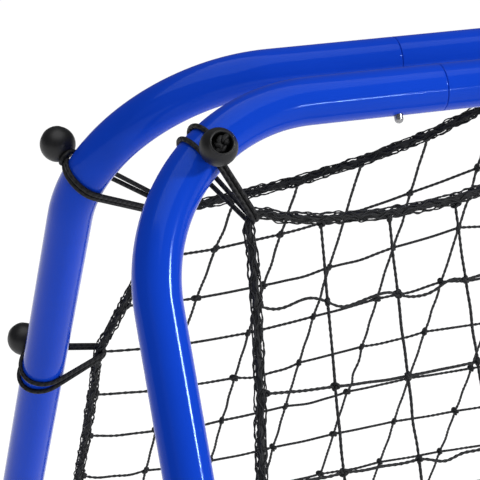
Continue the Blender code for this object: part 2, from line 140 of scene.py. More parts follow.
# Each bungee of a frame's left side: its place on the tube, its hook on the edge rope (within 7 mm of the
# model's) and the ball's angle; then which pair of strands goes the long way round the tube, that far pair's
# spread beside the ball, how far it slips down the tube on its way round, and how far the ball's mouth has
# rolled about the tube.
LOWER_BUNGEES = {
    "side_lower": ((0, SIDE_BUNGEE_Y), (0.043, SIDE_BUNGEE_Y), 80, 2, 0.0080, 0.010, 0),
    "bottom_corner": (bend_point(45), (0.078, 0.078), 92, 2, 0.0110, 0.0, 0),
    "bottom": ((TOP_BUNGEE_IN, 0), (TOP_BUNGEE_IN, 0.050), 88, 2, 0.0100, 0.0, 0),
}
UPPER_BUNGEES = {
    "front": {
        "top": ((TOP_BUNGEE_IN, 0), (TOP_BUNGEE_IN, 0.050), 90, 2, 0.0100, 0.0, 0),
        "top_corner": (bend_point(51), (0.071, 0.071), 95, 2, 0.0128, 0.0, -9),
        "side_upper": ((0, SIDE_BUNGEE_Y), (0.036, 0.300), 78, 2, 0.0080, 0.012, 0),
    },
    "rear": {
        "top": ((TOP_BUNGEE_IN, 0), (TOP_BUNGEE_IN, 0.055), 88, 2, 0.0100, 0.0, 0),
        "top_corner": (bend_point(18), (0.077, 0.132), 56, 1, 0.0095, 0.0, 30),
        "side_upper": ((0, SIDE_BUNGEE_Y), (0.042, 0.2865), 75, 2, 0.0125, 0.004, 0),
    },
}


# Mesh helpers


def grid_quads(rings, sides, closed_rings=False):
    """Faces of a grid of rings, each closed round its sides, as index rows."""
    ring_count = rings if closed_rings else rings - 1
    ring, side = np.meshgrid(np.arange(ring_count), np.arange(sides), indexing="ij")
    after, beside = (ring + 1) % rings, (side + 1) % sides
    corners = (ring * sides + side, after * sides + side, after * sides + beside, ring * sides + beside)
    return np.stack(corners, axis=-1).reshape(-1, 4)


def grid_uvs(rings, sides, along, closed_rings=False):
    """A map of each face corner: u is the distance along in metres, v the share of the way round."""
    ring_count = rings if closed_rings else rings - 1
    ring, side = np.meshgrid(np.arange(ring_count), np.arange(sides), indexing="ij")
    u0, u1 = along[ring], along[ring + 1]
    v0, v1 = side / sides, (side + 1) / sides
    corners = ((u0, v0), (u1, v0), (u1, v1), (u0, v1))
    return np.stack([np.stack([u, v], -1) for u, v in corners], 2).reshape(-1, 2)


def new_mesh(name, points, faces, uvs=None):
    mesh = bpy.data.meshes.new(name)
    mesh.from_pydata(np.asarray(points).tolist(), [], faces if isinstance(faces, list) else faces.tolist())
    if uvs is not None:
        layer = mesh.uv_layers.new(name="along_and_round")
        layer.data.foreach_set("uv", np.asarray(uvs, np.float32).ravel())
    mesh.validate()
    mesh.shade_smooth()
    return mesh


def outward(mesh):
    """Turns the faces of a closed mesh outwards."""
    work = bmesh.new()
    work.from_mesh(mesh)
    bmesh.ops.recalc_face_normals(work, faces=work.faces)
    work.to_mesh(mesh)
    work.free()
    return mesh


def joined(name, meshes):
    """One mesh that holds all the given ones."""
    work = bmesh.new()
    for mesh in meshes:
        work.from_mesh(mesh)
    result = bpy.data.meshes.new(name)
    work.to_mesh(result)
    work.free()
    return result


def add_piece(name, mesh, matrix, material, body, nodes):
    piece = bpy.data.objects.new(name, mesh)
    bpy.context.scene.collection.objects.link(piece)
    piece.matrix_world = matrix
    if not mesh.materials:
        mesh.materials.append(material)
    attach(piece, body)
    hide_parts(*nodes)
    return piece


def evaluated(name, base, modifiers, helpers=()):
    """The base mesh after the modifiers, each given as (type, settings)."""
    obj = bpy.data.objects.new(name, base)
    bpy.context.scene.collection.objects.link(obj)
    for kind, settings in modifiers:
        modifier = obj.modifiers.new(kind.title(), kind)
        for key, value in settings.items():
            setattr(modifier, key, value)
    bpy.context.view_layer.update()
    mesh = bpy.data.meshes.new_from_object(obj.evaluated_get(bpy.context.evaluated_depsgraph_get()))
    for used in (obj, *helpers):
        bpy.data.objects.remove(used, do_unlink=True)
    mesh.shade_smooth()
    mesh.set_sharp_from_angle(angle=SMOOTH_UNDER)
    return mesh


def combine(name, base, others, operation, bevel=0.0):
    """The base mesh joined with or cut by the others, with its sharp edges eased by the bevel."""
    helpers = []
    for mesh in others:
        helper = bpy.data.objects.new(name + "_helper", mesh)
        bpy.context.scene.collection.objects.link(helper)
        helpers.append(helper)
    steps = [("BOOLEAN", {"operation": operation, "solver": "EXACT", "object": helper}) for helper in helpers]
    if bevel:
        steps.append(("BEVEL", {"width": bevel, "segments": 2, "limit_method": "ANGLE",
                                "angle_limit": SMOOTH_UNDER}))
    return evaluated(name, base, steps, helpers)


def turned(name, profile, sides, matrix=None):
    """A closed turned shape from (radius, height) points, from one pole to the other, about Z."""
    angles = np.arange(sides) * 2 * math.pi / sides
    body = [(r, z) for r, z in profile if r > 0]
    rings = [np.stack([r * np.cos(angles), r * np.sin(angles), np.full(sides, z)], -1) for r, z in body]
    points = np.concatenate(rings + [np.array([[0, 0, profile[0][1]], [0, 0, profile[-1][1]]])])
    faces = grid_quads(len(body), sides).tolist()
    first, last = len(body) * sides, len(body) * sides + 1
    start = (len(body) - 1) * sides
    for side in range(sides):
        beside = (side + 1) % sides
        faces.append([first, beside, side])
        faces.append([last, start + side, start + beside])
    mesh = outward(new_mesh(name, points, faces))
    if matrix is not None:
        mesh.transform(matrix)
    return mesh


def cylinder(radius, length, sides, matrix):
    """A capped cylinder whose own Z runs from 0 to its length."""
    return turned("cylinder", [(0, 0), (radius, 0), (radius, length), (0, length)], sides, matrix)


def box(low, high):
    mesh = bpy.data.meshes.new("box")
    low, high = Vector(low), Vector(high)
    work = bmesh.new()
    size = Matrix.Diagonal((*(high - low), 1))
    bmesh.ops.create_cube(work, size=1, matrix=Matrix.Translation((low + high) / 2) @ size)
    work.to_mesh(mesh)
    work.free()
    return mesh


def axes_matrix(origin, along, up):
    """The matrix whose X runs along the first direction and whose Z is the second."""
    x, z = Vector(along), Vector(up)
    y = z.cross(x)
    return Matrix.Translation(origin) @ Matrix((x, y, z)).transposed().to_4x4()


# Cords


def unit(rows):
    return rows / np.linalg.norm(rows, axis=-1, keepdims=True)


def resampled(points, step, smooth, closed):
    """The polyline at even steps, with its corners rounded over the smoothing width."""
    points = np.asarray(points, float)
    if closed:
        points = np.concatenate([points, points[:1]])
    lengths = np.concatenate([[0], np.cumsum(np.linalg.norm(np.diff(points, axis=0), axis=1))])
    count = max(8, int(round(lengths[-1] / step)))
    at = np.linspace(0, lengths[-1], count + 1)
    path = np.stack([np.interp(at, lengths, points[:, axis]) for axis in range(3)], -1)
    half = int(round(smooth / step / 2))
    if closed:
        path = path[:-1]
    if half < 1:
        return path
    kernel = np.ones(2 * half + 1) / (2 * half + 1)
    mode = "wrap" if closed else "edge"
    for _ in range(2):
        padded = np.pad(path, ((half, half), (0, 0)), mode=mode)
        inner = np.stack([np.convolve(padded[:, axis], kernel, "valid") for axis in range(3)], -1)
        path = inner if closed else np.concatenate([path[:1], inner[1:-1], path[-1:]])
    return path


def carried_frames(path, closed):
    """Tangents with side vectors that turn as little as they can, and meet again on a closed path."""
    ahead = np.roll(path, -1, axis=0) - path
    if not closed:
        ahead[-1] = ahead[-2]
    tangents = unit(ahead + np.roll(ahead, 1, axis=0)) if closed else unit(ahead)
    start = np.cross(tangents[0], [0.31, 0.87, 0.38])
    side = start / np.linalg.norm(start)
    sides = [side]
    for tangent in tangents[1:]:
        side = side - tangent * (tangent @ side)
        side = side / np.linalg.norm(side)
        sides.append(side)
    sides = np.array(sides)
    others = np.cross(tangents, sides)
    if closed:
        back = sides[-1] - tangents[0] * (tangents[0] @ sides[-1])
        miss = math.atan2(back @ others[0], back @ sides[0])
        turn = -miss * np.arange(len(path)) / len(path)
        sides, others = (sides * np.cos(turn)[:, None] + others * np.sin(turn)[:, None],
                         others * np.cos(turn)[:, None] - sides * np.sin(turn)[:, None])
    return sides, others


def swept(name, path, frames, radius, sides, closed, lobes=0, depth=0.0, pitch=1.0):
    """A cord along the path. With lobes, its section is that many strands in a helix of that pitch."""
    steps = np.linalg.norm(np.diff(np.concatenate([path, path[:1]]), axis=0), axis=1)
    along = np.concatenate([[0], np.cumsum(steps)])
    if closed and lobes:
        pitch = along[-1] / max(1, round(along[-1] / pitch))
    turn = np.arange(sides) * 2 * math.pi / sides
    lay = 2 * math.pi * along[:-1, None] / pitch
    reach = radius * (1 + depth * np.cos(lobes * (turn[None, :] - lay))) if lobes else radius
    reach = np.broadcast_to(reach, (len(path), sides))
    across, other = frames
    points = (path[:, None, :] + (reach * np.cos(turn))[..., None] * across[:, None, :]
              + (reach * np.sin(turn))[..., None] * other[:, None, :])
    faces = grid_quads(len(path), sides, closed).tolist()
    uvs = grid_uvs(len(path), sides, along, closed)
    if not closed:
        last = (len(path) - 1) * sides
        faces += [list(range(sides))[::-1], list(range(last, last + sides))]
        uvs = np.concatenate([uvs, np.zeros((2 * sides, 2))])
    return outward(new_mesh(name, points.reshape(-1, 3), faces, uvs))


def knot_path(radius, flat=0.8):
    """A trefoil knot's closed centreline, flattened along Z."""
    turn = np.arange(40) * 2 * math.pi / 40
    reach = radius * (0.66 + 0.34 * np.cos(3 * turn))
    height = flat * 0.34 * radius * np.sin(3 * turn)
    return np.stack([reach * np.cos(2 * turn), reach * np.sin(2 * turn), height], -1)


# Materials


def new_material(name, **sockets):
    """A Principled material with its even values set on the shader's own sockets."""
    material = bpy.data.materials.new(name)
    material.use_nodes = True
    shader = material.node_tree.nodes["Principled BSDF"]
    for label, value in sockets.items():
        shader.inputs[label.replace("_", " ")].default_value = value
    return material, material.node_tree, shader


def texture(tree, kind, source, **settings):
    """A texture node fed from a coordinate output, with its settings as attributes or sockets."""
    node = tree.nodes.new(kind)
    for label, value in settings.items():
        socket = node.inputs.get(label.replace("_", " "))
        if socket is not None:
            socket.default_value = value
        else:
            setattr(node, label, value)
    tree.links.new(source, node.inputs["Vector"])
    return node


def coordinates(tree, output="Object"):
    return tree.nodes.new("ShaderNodeTexCoord").outputs[output]


def turned_coordinates(tree, output, scale, angle=0.0):
    node = tree.nodes.new("ShaderNodeMapping")
    node.inputs["Scale"].default_value = scale
    node.inputs["Rotation"].default_value = (0, 0, angle)
    tree.links.new(coordinates(tree, output), node.inputs["Vector"])
    return node.outputs["Vector"]


def between(tree, factor, low, high, socket):
    """Feeds a socket from a factor, running from the low value to the high one."""
    ramp = tree.nodes.new("ShaderNodeMapRange")
    if isinstance(low, tuple):
        ramp.data_type = "FLOAT_VECTOR"
        ramp.inputs[9].default_value = low
        ramp.inputs[10].default_value = high
        spread = tree.nodes.new("ShaderNodeCombineXYZ")
        for axis in range(3):
            tree.links.new(factor, spread.inputs[axis])
        tree.links.new(spread.outputs[0], ramp.inputs[6])
        tree.links.new(ramp.outputs[1], socket)
    else:
        ramp.inputs["To Min"].default_value = low
        ramp.inputs["To Max"].default_value = high
        tree.links.new(factor, ramp.inputs["Value"])
        tree.links.new(ramp.outputs[0], socket)


def bump(tree, shader, height, strength, distance):
    node = tree.nodes.new("ShaderNodeBump")
    node.inputs["Strength"].default_value = strength
    node.inputs["Distance"].default_value = distance
    tree.links.new(height, node.inputs["Height"])
    tree.links.new(node.outputs["Normal"], shader.inputs["Normal"])


def added(tree, first, second, share):
    """The first height plus a share of the second."""
    node = tree.nodes.new("ShaderNodeMath")
    node.operation = "MULTIPLY_ADD"
    node.inputs[1].default_value = share
    tree.links.new(second, node.inputs[0])
    tree.links.new(first, node.inputs[2])
    return node.outputs[0]


def blue_paint():
    """Gloss powder coat with a faint orange peel and slightly uneven depth of colour."""
    material, tree, shader = new_material("blue_powder_coat", Specular_IOR_Level=0.16,
                                          Specular_Tint=(0.40, 0.68, 1.0, 1))
    place = coordinates(tree)
    patches = texture(tree, "ShaderNodeTexNoise", place, Scale=9.0, Detail=3.0)
    between(tree, patches.outputs[0], (0.0034, 0.040, 0.43), (0.0060, 0.053, 0.54),
            shader.inputs["Base Color"])
    haze = texture(tree, "ShaderNodeTexNoise", place, Scale=60.0, Detail=4.0)
    between(tree, haze.outputs[0], 0.07, 0.17, shader.inputs["Roughness"])
    peel = texture(tree, "ShaderNodeTexNoise", place, Scale=330.0, Detail=2.0)
    bump(tree, shader, peel.outputs[0], 0.03, 0.0002)
    return material


def zinc_steel():
    material, tree, shader = new_material("zinc_plated_steel", Metallic=1.0)
    place = coordinates(tree)
    spangle = texture(tree, "ShaderNodeTexVoronoi", place, Scale=260.0)
    between(tree, spangle.outputs["Distance"], (0.22, 0.22, 0.23), (0.40, 0.40, 0.41),
            shader.inputs["Base Color"])
    smears = texture(tree, "ShaderNodeTexNoise", place, Scale=180.0, Detail=4.0)
    between(tree, smears.outputs[0], 0.18, 0.42, shader.inputs["Roughness"])
    bump(tree, shader, smears.outputs[0], 0.08, 0.0002)
    return material


def moulded_plastic(name, low, high, roughness, grain):
    """Satin black plastic with a fine moulded grain."""
    material, tree, shader = new_material(name, Specular_IOR_Level=0.35)
    place = coordinates(tree)
    clouds = texture(tree, "ShaderNodeTexNoise", place, Scale=120.0, Detail=5.0)
    between(tree, clouds.outputs[0], low, high, shader.inputs["Base Color"])
    between(tree, clouds.outputs[0], *roughness, shader.inputs["Roughness"])
    fine = texture(tree, "ShaderNodeTexNoise", place, Scale=grain, Detail=3.0)
    bump(tree, shader, fine.outputs[0], 0.25, 0.0002)
    return material


def braided_cord():
    """The elastic's woven sleeve: two crossing sets of yarns along the cord."""
    material, tree, shader = new_material("braided_elastic", Specular_IOR_Level=0.2)
    yarns = []
    for slant in (1, -1):
        place = turned_coordinates(tree, "UV", (420.0, slant * 4.0, 1.0))
        wave = texture(tree, "ShaderNodeTexWave", place, Scale=0.314, Distortion=0.6,
                       bands_direction="DIAGONAL")
        yarns.append(wave.outputs["Fac"])
    weave = added(tree, yarns[0], yarns[1], 0.9)
    between(tree, weave, (0.003, 0.003, 0.0033), (0.012, 0.012, 0.013), shader.inputs["Base Color"])
    between(tree, weave, 0.72, 0.52, shader.inputs["Roughness"])
    bump(tree, shader, weave, 0.55, 0.0003)
    return material


def fibrous(name, low, high, roughness, along, strength):
    """Laid polyethylene yarn: fine fibres that run with the strands."""
    material, tree, shader = new_material(name, Specular_IOR_Level=0.2)
    place = turned_coordinates(tree, "UV", (along, 26.0, 1.0), math.radians(24))
    fibres = texture(tree, "ShaderNodeTexNoise", place, Scale=1.0, Detail=4.0, Roughness=0.6)
    specks = texture(tree, "ShaderNodeTexNoise", coordinates(tree), Scale=700.0, Detail=2.0)
    mixed = added(tree, fibres.outputs[0], specks.outputs[0], 0.5)
    between(tree, mixed, low, high, shader.inputs["Base Color"])
    between(tree, fibres.outputs[0], *roughness, shader.inputs["Roughness"])
    bump(tree, shader, mixed, strength, 0.0004)
    return material


# Tubes


def corner_directions(across, top):
    corner = np.array([across * HALF_WIDTH, 0 if top else -FRAME_LENGTH, 0.0])
    return corner, np.array([-across, 0.0, 0.0]), np.array([0.0, -1 if top else 1, 0.0])


def along_corner(across, top):
    """Centre and direction of a corner tube's centreline, by the distance from its arm's seam."""
    corner, arm, leg = corner_directions(across, top)
    straight = ARM_LENGTH - BEND_RADIUS
    arc = BEND_RADIUS * math.pi / 2
    middle = corner + BEND_RADIUS * (arm + leg)

    def at(distance):
        if distance < straight:
            return corner + (ARM_LENGTH - distance) * arm, -arm
        if distance < straight + arc:
            turn = (distance - straight) / BEND_RADIUS
            return (middle - BEND_RADIUS * (math.cos(turn) * leg + math.sin(turn) * arm),
                    math.sin(turn) * leg - math.cos(turn) * arm)
        return corner + (BEND_RADIUS + distance - straight - arc) * leg, leg

    stops = [straight * step / 6 for step in range(1, 6)]
    stops += [straight + arc * step / BEND_RINGS for step in range(BEND_RINGS + 1)]
    length = straight + arc + FRAME_LENGTH / 2 - BEND_RADIUS
    stops += [straight + arc + (length - straight - arc) * step / 12 for step in range(1, 12)]
    return at, stops, length


def plain_end(at_start, length):
    """(distance, radius) stations of a full-size cut end with an eased rim, from the rim inwards."""
    rim = 0.0003
    stations = [(0, TUBE_RADIUS - rim), (0.15 * rim, TUBE_RADIUS - 0.5 * rim), (rim, TUBE_RADIUS),
                (3 * rim, TUBE_RADIUS), (0.003, TUBE_RADIUS)]
    return stations if at_start else [(length - distance, radius) for distance, radius in reversed(stations)]


def swaged_end(at_start, length):
    """Stations of a reduced end that reaches SOCKET_DEPTH beyond its seam, in the order of distance."""
    rim = 0.0005
    stations = [(-SOCKET_DEPTH, SWAGE_RADIUS - rim), (-SOCKET_DEPTH + rim, SWAGE_RADIUS),
                (-0.010, SWAGE_RADIUS),
                (GAP / 2, SWAGE_RADIUS)]
    for step in range(1, 7):
        share = step / 6
        radius = SWAGE_RADIUS + (TUBE_RADIUS - SWAGE_RADIUS) * (1 - (1 - share) ** 2) ** 0.5
        stations.append((GAP / 2 + SWAGE_TAPER * share, radius))
    stations += [(2 * SWAGE_TAPER, TUBE_RADIUS), (0.003, TUBE_RADIUS)]
    return stations if at_start else [(length - distance, radius) for distance, radius in reversed(stations)]


def hollow_tube(name, at, stations, buttons):
    """A tube with a real wall, with a hole for each button that sits in it."""
    inside = [(distance, radius - TUBE_WALL) for distance, radius in reversed(stations)]
    turn = np.arange(TUBE_SIDES) * 2 * math.pi / TUBE_SIDES
    rings = []
    for distance, radius in stations + inside:
        centre, direction = at(distance)
        side = np.cross(direction, [0, 0, 1])
        upwards = np.sin(turn)[:, None] * np.array([0, 0, 1])
        rings.append(centre + radius * (np.cos(turn)[:, None] * side + upwards))
    faces = grid_quads(len(rings), TUBE_SIDES, True)
    skin = outward(new_mesh(name, np.concatenate(rings), faces))
    cutters = []
    for place, along, up in buttons:
        start = axes_matrix(place, along, up) @ Matrix.Translation((0, 0, TUBE_RADIUS / 2))
        cutters.append(cylinder(BUTTON_HOLE_RADIUS, TUBE_RADIUS, 32, start))
    return combine(name, skin, cutters, "DIFFERENCE")


def clip_places():
    """Name, place, direction along the tube and button direction of a frame's six clips."""
    top_x = HALF_WIDTH - ARM_LENGTH + CLIP_FROM_SEAM
    side_y = -(FRAME_LENGTH / 2 + CLIP_FROM_SEAM)
    places = {}
    for side, across in (("left", -1), ("right", 1)):
        inward = (-across, 0, 0)
        places[f"top_{side}"] = ((across * top_x, 0, 0), inward, (0, -1, 0))
        places[f"{side}_side"] = ((across * HALF_WIDTH, side_y, 0), (0, 1, 0), inward)
        places[f"bottom_{side}"] = ((across * top_x, -FRAME_LENGTH, 0), inward, (0, 1, 0))
    return places


def tube_meshes():
    """The six tube meshes that both frames share."""
    places = clip_places()
    meshes = {}
    for side, across in (("left", -1), ("right", 1)):
        for level, top in (("upper", True), ("lower", False)):
            at, stops, length = along_corner(across, top)
            far_end = swaged_end(False, length) if top else plain_end(False, length)
            stations = plain_end(True, length) + [(stop, TUBE_RADIUS) for stop in stops] + far_end
            end = "top" if top else "bottom"
            buttons = [places[f"{end}_{side}"], places[f"{side}_side"]]
            name = f"{level}_{side}_corner_tube"
            meshes[name] = hollow_tube(name, at, stations, buttons)
    half = HALF_WIDTH - ARM_LENGTH
    for name, end, y in (("top_tube", "top", 0), ("bottom_tube", "bottom", -FRAME_LENGTH)):
        def at(distance, y=y):
            return np.array([distance - half, y, 0.0]), np.array([1.0, 0.0, 0.0])

        middle = [(2 * half * step / 16, TUBE_RADIUS) for step in range(1, 16)]
        stations = swaged_end(True, 2 * half) + middle + swaged_end(False, 2 * half)
        meshes[name] = hollow_tube(name, at, stations, [places[f"{end}_left"], places[f"{end}_right"]])
    return meshes


def clip_mesh():
    """A snap clip: a domed button riveted to a folded leaf spring."""
    top = TUBE_RADIUS + BUTTON_HEIGHT
    leaf = TUBE_INNER - 0.0037
    dome = [(BUTTON_RADIUS * math.sin(turn), top - BUTTON_RADIUS + BUTTON_RADIUS * math.cos(turn))
            for turn in np.linspace(0, math.pi / 2, 9)]
    profile = dome + [(BUTTON_RADIUS, leaf), (0, leaf)]
    button = turned("button", profile, 36)
    path = [(-0.006, leaf), (0.010, leaf), (0.024, leaf - 0.0015), (0.0275, leaf - 0.003),
            (0.028, leaf - 0.005), (0.0265, leaf - 0.007), (0.020, leaf - 0.009), (-0.004, leaf - 0.014)]
    run = resampled([(x, 0, z) for x, z in path], 0.001, 0.004, False)
    ahead = np.gradient(run, axis=0)
    normal = unit(np.stack([-ahead[:, 2], 0 * ahead[:, 0], ahead[:, 0]], -1))
    half_width, half_thick = 0.004, 0.0004
    rounding = [(0.85, 1), (1, 0.6), (1, -0.6), (0.85, -1), (-0.85, -1), (-1, -0.6), (-1, 0.6), (-0.85, 1)]
    rings = [run + np.array([0, half_width * wide, 0]) + half_thick * thick * normal
             for wide, thick in rounding]
    points = np.stack(rings, 1).reshape(-1, 3)
    faces = grid_quads(len(run), 8).tolist()
    last = (len(run) - 1) * 8
    faces += [list(range(8))[::-1], list(range(last, last + 8))]
    strip = outward(new_mesh("leaf", points, faces))
    return combine("snap_clip", button, [strip], "UNION")


# Bungees


def ball_mesh():
    """A hollow ball about its centre, open at +Z, where its cord's knots sit."""
    mouth = math.radians(43)
    lip = 0.0008
    outer = [(BALL_RADIUS * math.sin(turn), -BALL_RADIUS * math.cos(turn))
             for turn in np.linspace(0, math.pi - mouth, 30)]
    edge_radius, edge_height = outer[-1]
    round_lip = [(edge_radius - lip * (1 - math.cos(turn)), edge_height + lip * math.sin(turn))
                 for turn in np.linspace(0.4, math.pi, 7)]
    throat = round_lip[-1][0]
    floor = edge_height - MOUTH_DEPTH
    corner = 0.0018
    wall = [(throat, edge_height - 0.002), (throat - 0.0002, floor + corner)]
    bottom = [(throat - 0.0002 - corner * (1 - math.cos(turn)), floor + corner * (1 - math.sin(turn)))
              for turn in np.linspace(0.3, math.pi / 2, 5)]
    mesh = turned("bungee_ball", outer + round_lip + wall + bottom + [(0, floor)], 56)
    mesh.set_sharp_from_angle(angle=math.radians(70))
    return mesh


def ball_centre(ball_angle):
    """The ball's centre from its tube's axis, in a bungee's own coordinates."""
    turn = math.pi - math.radians(ball_angle)
    return BALL_FROM_AXIS * Vector((math.cos(turn), 0, math.sin(turn)))


def elastic_route(reach, lean, ball_angle, long_pair, spread, slip):
    """The closed route of one elastic about its tube's axis: X towards the rope, Y along the tube, Z out.

    Both strands leave the ball side by side, hook round the edge rope, come back round the other side of the
    tube and end as a loop over the ball's neck. Lean is how far the tube shifts towards the rope for each
    step along Y.
    """
    at_tube = TUBE_RADIUS + ELASTIC_RADIUS + 0.0001
    at_rope = ROPE_RADIUS + ELASTIC_RADIUS + 0.0010
    ball = math.pi - math.radians(ball_angle)
    way = -1 if long_pair == 2 else 1
    leave = math.acos((at_tube - at_rope) / reach)
    first_stop = leave if way < 0 else 2 * math.pi - leave
    second_start = 2 * math.pi - leave if way < 0 else leave
    beside, neck = 0.0017, 0.0064

    def on_tube(angle, y, radius=at_tube):
        return (radius * math.cos(angle) + lean * y, y, radius * math.sin(angle))

    def strand(side):
        points = [on_tube(ball, side * 0.0013, BALL_FROM_AXIS + 0.002),
                  on_tube(ball, side * 0.0014, BALL_FROM_AXIS - 0.008)]
        points.append(on_tube(ball + way * 0.12, side * beside, at_tube + 0.0012))
        for angle in np.linspace(ball + way * 0.32, first_stop, 12):
            points.append(on_tube(angle, side * beside))
        for turn in np.linspace(-way * leave, way * leave, 9):
            points.append((reach + at_rope * math.cos(turn), side * beside, at_rope * math.sin(turn)))
        finish = ball - way * 0.30
        for share in np.linspace(0, 1, 18):
            wide = beside + (spread / 2 - beside) * (0.35 + 0.65 * math.sin(share * math.pi / 2))
            down = slip * min(1, 0.72 + 0.7 * share) * min(1, 2.6 * (1 - share))
            points.append(on_tube(second_start + (finish - second_start) * share, side * wide + down))
        points.append(on_tube(ball, side * neck, at_tube + 0.0005))
        points.append(on_tube(ball + way * 0.36, side * 0.0048, at_tube + 0.0022))
        return points

    over = [on_tube(ball + way * 0.54, 0, at_tube + 0.0031)]
    return strand(1) + over + strand(-1)[::-1]


def elastic_mesh(name, reach, lean, ball_angle, long_pair, spread, slip, mouth_axis):
    route = elastic_route(reach, lean, ball_angle, long_pair, spread, slip)
    route = resampled(route, CORD_STEP, 0.0045, True)
    cord = swept(name, route, carried_frames(route, True), ELASTIC_RADIUS, 12, True)
    knots = []
    for side in (-1, 1):
        path = knot_path(END_KNOT_RADIUS)
        lump = swept("knot", path, carried_frames(path, True), ELASTIC_RADIUS * 0.92, 8, True)
        knots_centre = ball_centre(ball_angle) + mouth_axis * END_KNOTS_FROM_CENTRE
        place = axes_matrix(knots_centre, (0, 1, 0), mouth_axis)
        lump.transform(place @ Matrix.Translation((side * 0.0024, side * 0.0005, side * 0.0011))
                       @ Matrix.Rotation(side * 0.9, 4, "X") @ Matrix.Rotation(side * 0.5, 4, "Z"))
        bends = [(side * 0.0020, 0.001, 0), (side * 0.0034, 0.0016, 0.0024), (side * 0.0018, -0.0022, 0.0042)]
        tail = resampled(bends, 0.0008, 0.002, False)
        end = swept("tail", tail, carried_frames(tail, False), ELASTIC_RADIUS * 0.9, 10, False)
        end.transform(place)
        knots += [lump, end]
    return joined(name, [cord, *knots])


# Nets and edge ropes


def net_places(frame_name, hooks):
    """Places of the net's knots and of the edge rope's half steps between them, by doubled cell numbers.

    The net is a cable net in balance: each stretch pulls in proportion to its length, the edge rope pulls
    hardest, and the hooks hold still.
    """
    pull = NETS[frame_name]
    size = 2 * CELLS
    edges = []
    for step in range(size):
        for edge in (0, size):
            edges.append(((step, edge), (step + 1, edge), pull["rope"]))
            edges.append(((edge, step), (edge, step + 1), pull["rope"]))
    for line in range(2, size, 2):
        column = pull["outer_columns"] if line <= 4 or line >= size - 4 else 1.0
        for step in range(0, size, 2):
            edges.append(((step, line), (step + 2, line), pull["level"]))
            edges.append(((line, step), (line, step + 2), column))
    order = {key: index for index, key in enumerate(sorted({key for edge in edges for key in edge[:2]}))}
    pulls = np.zeros((len(order), len(order)))
    for start, end, share in edges:
        a, b = order[start], order[end]
        pulls[a, a] += share
        pulls[b, b] += share
        pulls[a, b] -= share
        pulls[b, a] -= share
    weight = np.zeros((len(order), 3))
    for key, index in order.items():
        if key[0] % 2 == 0 and key[1] % 2 == 0:
            on_edge = 0 in key or size in key
            weight[index] = (2 if on_edge else 1) * np.array([0, *pull["sag"]])
    places = np.zeros((len(order), 3))
    held = [order[key] for key in hooks]
    places[held] = list(hooks.values())
    loose = [index for index in order.values() if index not in set(held)]
    forces = weight[loose] - pulls[np.ix_(loose, held)] @ places[held]
    places[loose] = np.linalg.solve(pulls[np.ix_(loose, loose)], forces)
    return {key: places[index] for key, index in order.items()}


def in_frame(place, across, top):
    """Local coordinates of a place given as distances in from the side and from the top or bottom tube."""
    inwards, along = place
    return np.array([across * (HALF_WIDTH - inwards), -along if top else along - FRAME_LENGTH, 0.0])


def tube_direction(place, across, top):
    """Direction of the tube's centreline in local coordinates, at a place on it given in the same terms."""
    inwards, along = place
    radial = Vector((min(inwards, BEND_RADIUS) - BEND_RADIUS,
                     min(along, BEND_RADIUS) - BEND_RADIUS)).normalized()
    return Vector((across * radial.y, -radial.x if top else radial.x, 0))


def hook_places(frame_name):
    """Where the twelve bungees hold the edge rope, by doubled cell numbers."""
    size = 2 * CELLS
    upper, lower = NETS[frame_name]["side_hooks"]
    cells = {"top_corner": (0, 0), "top": (LEVEL_HOOK, 0), "side_upper": (0, upper),
             "bottom_corner": (0, size), "bottom": (LEVEL_HOOK, size), "side_lower": (0, lower)}
    hooks = {}
    for table, top in ((UPPER_BUNGEES[frame_name], True), (LOWER_BUNGEES, False)):
        for name, values in table.items():
            column, row = cells[name]
            hooks[(column, row)] = in_frame(values[1], -1, top)
            hooks[(size - column, row)] = in_frame(values[1], 1, top)
    return hooks


def rope_path(places):
    """The edge rope's closed path through its places, as a smooth curve at even steps."""
    size = 2 * CELLS
    keys = [(step, 0) for step in range(size)] + [(size, step) for step in range(size)]
    keys += [(size - step, size) for step in range(size)] + [(0, size - step) for step in range(size)]
    points = np.array([places[key] for key in keys])
    share = np.linspace(0, 1, 16, endpoint=False)[None, :, None]
    before, start, end, after = (np.roll(points, shift, axis=0)[:, None, :] for shift in (1, 0, -1, -2))
    curve = 0.5 * (2 * start + share * (end - before)
                   + share ** 2 * (2 * before - 5 * start + 4 * end - after)
                   + share ** 3 * (3 * (start - end) + after - before))
    return resampled(curve.reshape(-1, 3), 0.0016, 0.008, True)


def flat_frames(path):
    """Side vectors of a closed path that lies nearly in the frame's plane."""
    tangents = unit(np.roll(path, -1, axis=0) - np.roll(path, 1, axis=0))
    sides = unit(np.cross(tangents, [0, 0, 1.0]))
    return sides, np.cross(tangents, sides)


def lashing_mesh(path, frames, draws, phase, pitch):
    """Thin twine in a slow helix along the rope, tied down at every stitch and standing off in between."""
    count = len(path)
    length = count * np.linalg.norm(path[1] - path[0])
    stitches = round(length / STITCH)
    share = np.arange(count) / count
    stops = np.sort((np.arange(stitches) + draws.uniform(-0.3, 0.3, stitches)) / stitches)
    number = np.interp(share, stops, np.arange(stitches))
    loose = draws.uniform(0.3, 1, stitches + 1)
    lift = loose[number.astype(int)] * np.sin(math.pi * (number % 1)) ** 0.8
    turns = round(length / pitch)
    angle = phase + 2 * math.pi * turns * share + 0.35 * np.sin(math.pi * number)
    reach = ROPE_RADIUS + 0.0004 + STITCH_LIFT * lift
    route = path + (reach * np.cos(angle))[:, None] * frames[0] + (reach * np.sin(angle))[:, None] * frames[1]
    route = resampled(route, 0.0014, 0.0022, True)
    return swept("lashing", route, carried_frames(route, True), 0.00052, 5, True)


